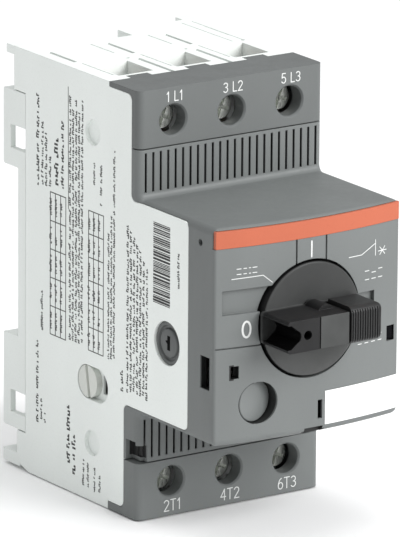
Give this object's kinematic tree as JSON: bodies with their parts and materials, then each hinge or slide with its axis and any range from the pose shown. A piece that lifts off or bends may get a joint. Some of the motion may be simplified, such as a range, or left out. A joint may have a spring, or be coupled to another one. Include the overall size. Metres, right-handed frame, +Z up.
{
  "type": "motor protection breaker",
  "caption": "Rail-mounted motor protection breaker with a projecting front block, rotary knob with a lock slide, screw terminals top and bottom, and its contact and trip mechanism inside.",
  "frame": {"origin": "centre of the rail seat", "axes": "+Z up, +X to the right seen from the front, front faces -Y"},
  "size_m": [0.045, 0.09, 0.09],
  "materials": {
    "white_housing": "fine-grained moulded thermoplastic",
    "grey_cover": "fine-grained moulded thermoplastic, mid grey",
    "black_knob": "satin moulded black",
    "orange_strip": "printed orange-red strip",
    "label_white": "blank white label plate",
    "dial_grey": "blanking cap",
    "zinc_steel": "bright zinc plate",
    "magnet_steel": "zinc-plated soft iron",
    "spring_steel": "spring wire",
    "copper": "bare copper strip",
    "enamelled_copper": "enamelled copper wire",
    "silver_tips": "silver alloy contact tips",
    "black_mechanism": "glass-filled black",
    "red_flag": "bright trip flag",
    "fibre_board": "vulcanised fibre",
    "arc_steel": "nickel-plated sheet",
    "latch_grey": "dark moulded latch"
  },
  "bodies": {
    "housing": {"arc_frames": "fibre_board", "arc_plates": "arc_steel", "carrier_springs": "spring_steel", "coil_bobbins": "black_mechanism", "colour_strip": "orange_strip", "contact_tips": "silver_tips", "dial_blank": "dial_grey", "fixed_cores": "magnet_steel", "front_cover": "grey_cover", "knob_spring": "spring_steel", "label_plate": "label_white", "latch_pin": "zinc_steel", "line_conductors": "copper", "load_conductors": "copper", "lower_terminal_cover": "grey_cover", "magnet_coils": "enamelled_copper", "magnet_yokes": "magnet_steel", "mechanism_plate": "zinc_steel", "plate_screws": "zinc_steel", "plunger_spring_1": "spring_steel", "plunger_spring_2": "spring_steel", "plunger_spring_3": "spring_steel", "rail_base": "white_housing", "rail_spring": "spring_steel", "rear_housing": "white_housing", "side_plugs": "white_housing", "terminal_clamps": "zinc_steel", "terminal_screws": "zinc_steel", "test_spring": "spring_steel", "trip_spring": "spring_steel", "upper_terminal_cover": "grey_cover"},
    "knob": {"knob": "black_knob", "knob_shaft": "black_knob", "cam_drum": "black_mechanism"},
    "lock_slide": {"lock_slide": "black_knob"},
    "carrier": {"contact_carrier": "black_mechanism", "moving_contacts": "copper", "contact_springs": "spring_steel"},
    "plunger_left": {"plunger_1": "magnet_steel"},
    "plunger_middle": {"plunger_2": "magnet_steel"},
    "plunger_right": {"plunger_3": "magnet_steel"},
    "trip_bar": {"trip_bar": "black_mechanism"},
    "latch_lever": {"latch_lever": "zinc_steel"},
    "trip_flag": {"trip_flag": "red_flag"},
    "test_pusher": {"test_pusher": "red_flag"},
    "rail_latch": {"rail_latch": "latch_grey"}
  },
  "joints": [
    {"name": "knob_turn", "type": "hinge", "parent": "housing", "child": "knob", "pos_m": [-0.0006, -0.06, 0], "axis": [0, 1, 0], "range_deg": [0, 90]},
    {"name": "lock_slide_pull", "type": "slide", "parent": "knob", "child": "lock_slide", "axis": [1, 0, 0], "range_m": [0, 0.004]},
    {"name": "contact_travel", "type": "slide", "parent": "housing", "child": "carrier", "axis": [0, 1, 0], "range_m": [0, 0.003], "deforming": ["carrier_springs"]},
    {"name": "plunger_left_strike", "type": "slide", "parent": "housing", "child": "plunger_left", "axis": [0, -1, 0], "range_m": [0, 0.0016], "stiffness_N_per_m": 100, "springref_m": -0.001, "deforming": ["plunger_spring_1"]},
    {"name": "plunger_middle_strike", "type": "slide", "parent": "housing", "child": "plunger_middle", "axis": [0, -1, 0], "range_m": [0, 0.0016], "stiffness_N_per_m": 100, "springref_m": -0.001, "deforming": ["plunger_spring_2"]},
    {"name": "plunger_right_strike", "type": "slide", "parent": "housing", "child": "plunger_right", "axis": [0, -1, 0], "range_m": [0, 0.0016], "stiffness_N_per_m": 100, "springref_m": -0.001, "deforming": ["plunger_spring_3"]},
    {"name": "trip_flag_rise", "type": "slide", "parent": "housing", "child": "trip_flag", "axis": [0, 0, 1], "range_m": [0, 0.0056], "stiffness_N_per_m": 20, "springref_m": -0.001},
    {"name": "trip_bar_swing", "type": "hinge", "parent": "housing", "child": "trip_bar", "pos_m": [0, -0.0326, -0.0148], "axis": [-1, 0, 0], "range_deg": [0, 12.1]},
    {"name": "latch_swing", "type": "hinge", "parent": "housing", "child": "latch_lever", "pos_m": [0.0112, -0.0435, -0.0128], "axis": [1, 0, 0], "range_deg": [0, 10]},
    {"name": "test_push", "type": "slide", "parent": "housing", "child": "test_pusher", "axis": [0, 1, 0], "range_m": [0, 0.0015], "stiffness_N_per_m": 200, "springref_m": -0.001, "deforming": ["test_spring"]},
    {"name": "rail_latch_pull", "type": "slide", "parent": "housing", "child": "rail_latch", "axis": [0, 0, -1], "range_m": [0, 0.003], "stiffness_N_per_m": 1500, "springref_m": -0.001, "deforming": ["rail_spring"]}
  ],
  "couplings": [
    {"joint": "contact_travel", "follows": "knob_turn", "m_per_rad": 0.0019099},
    {"joint": "trip_bar_swing", "follows": "trip_flag_rise", "rad_per_m": 37.4},
    {"joint": "latch_swing", "follows": "trip_flag_rise", "rad_per_m": 29.92}
  ]
}
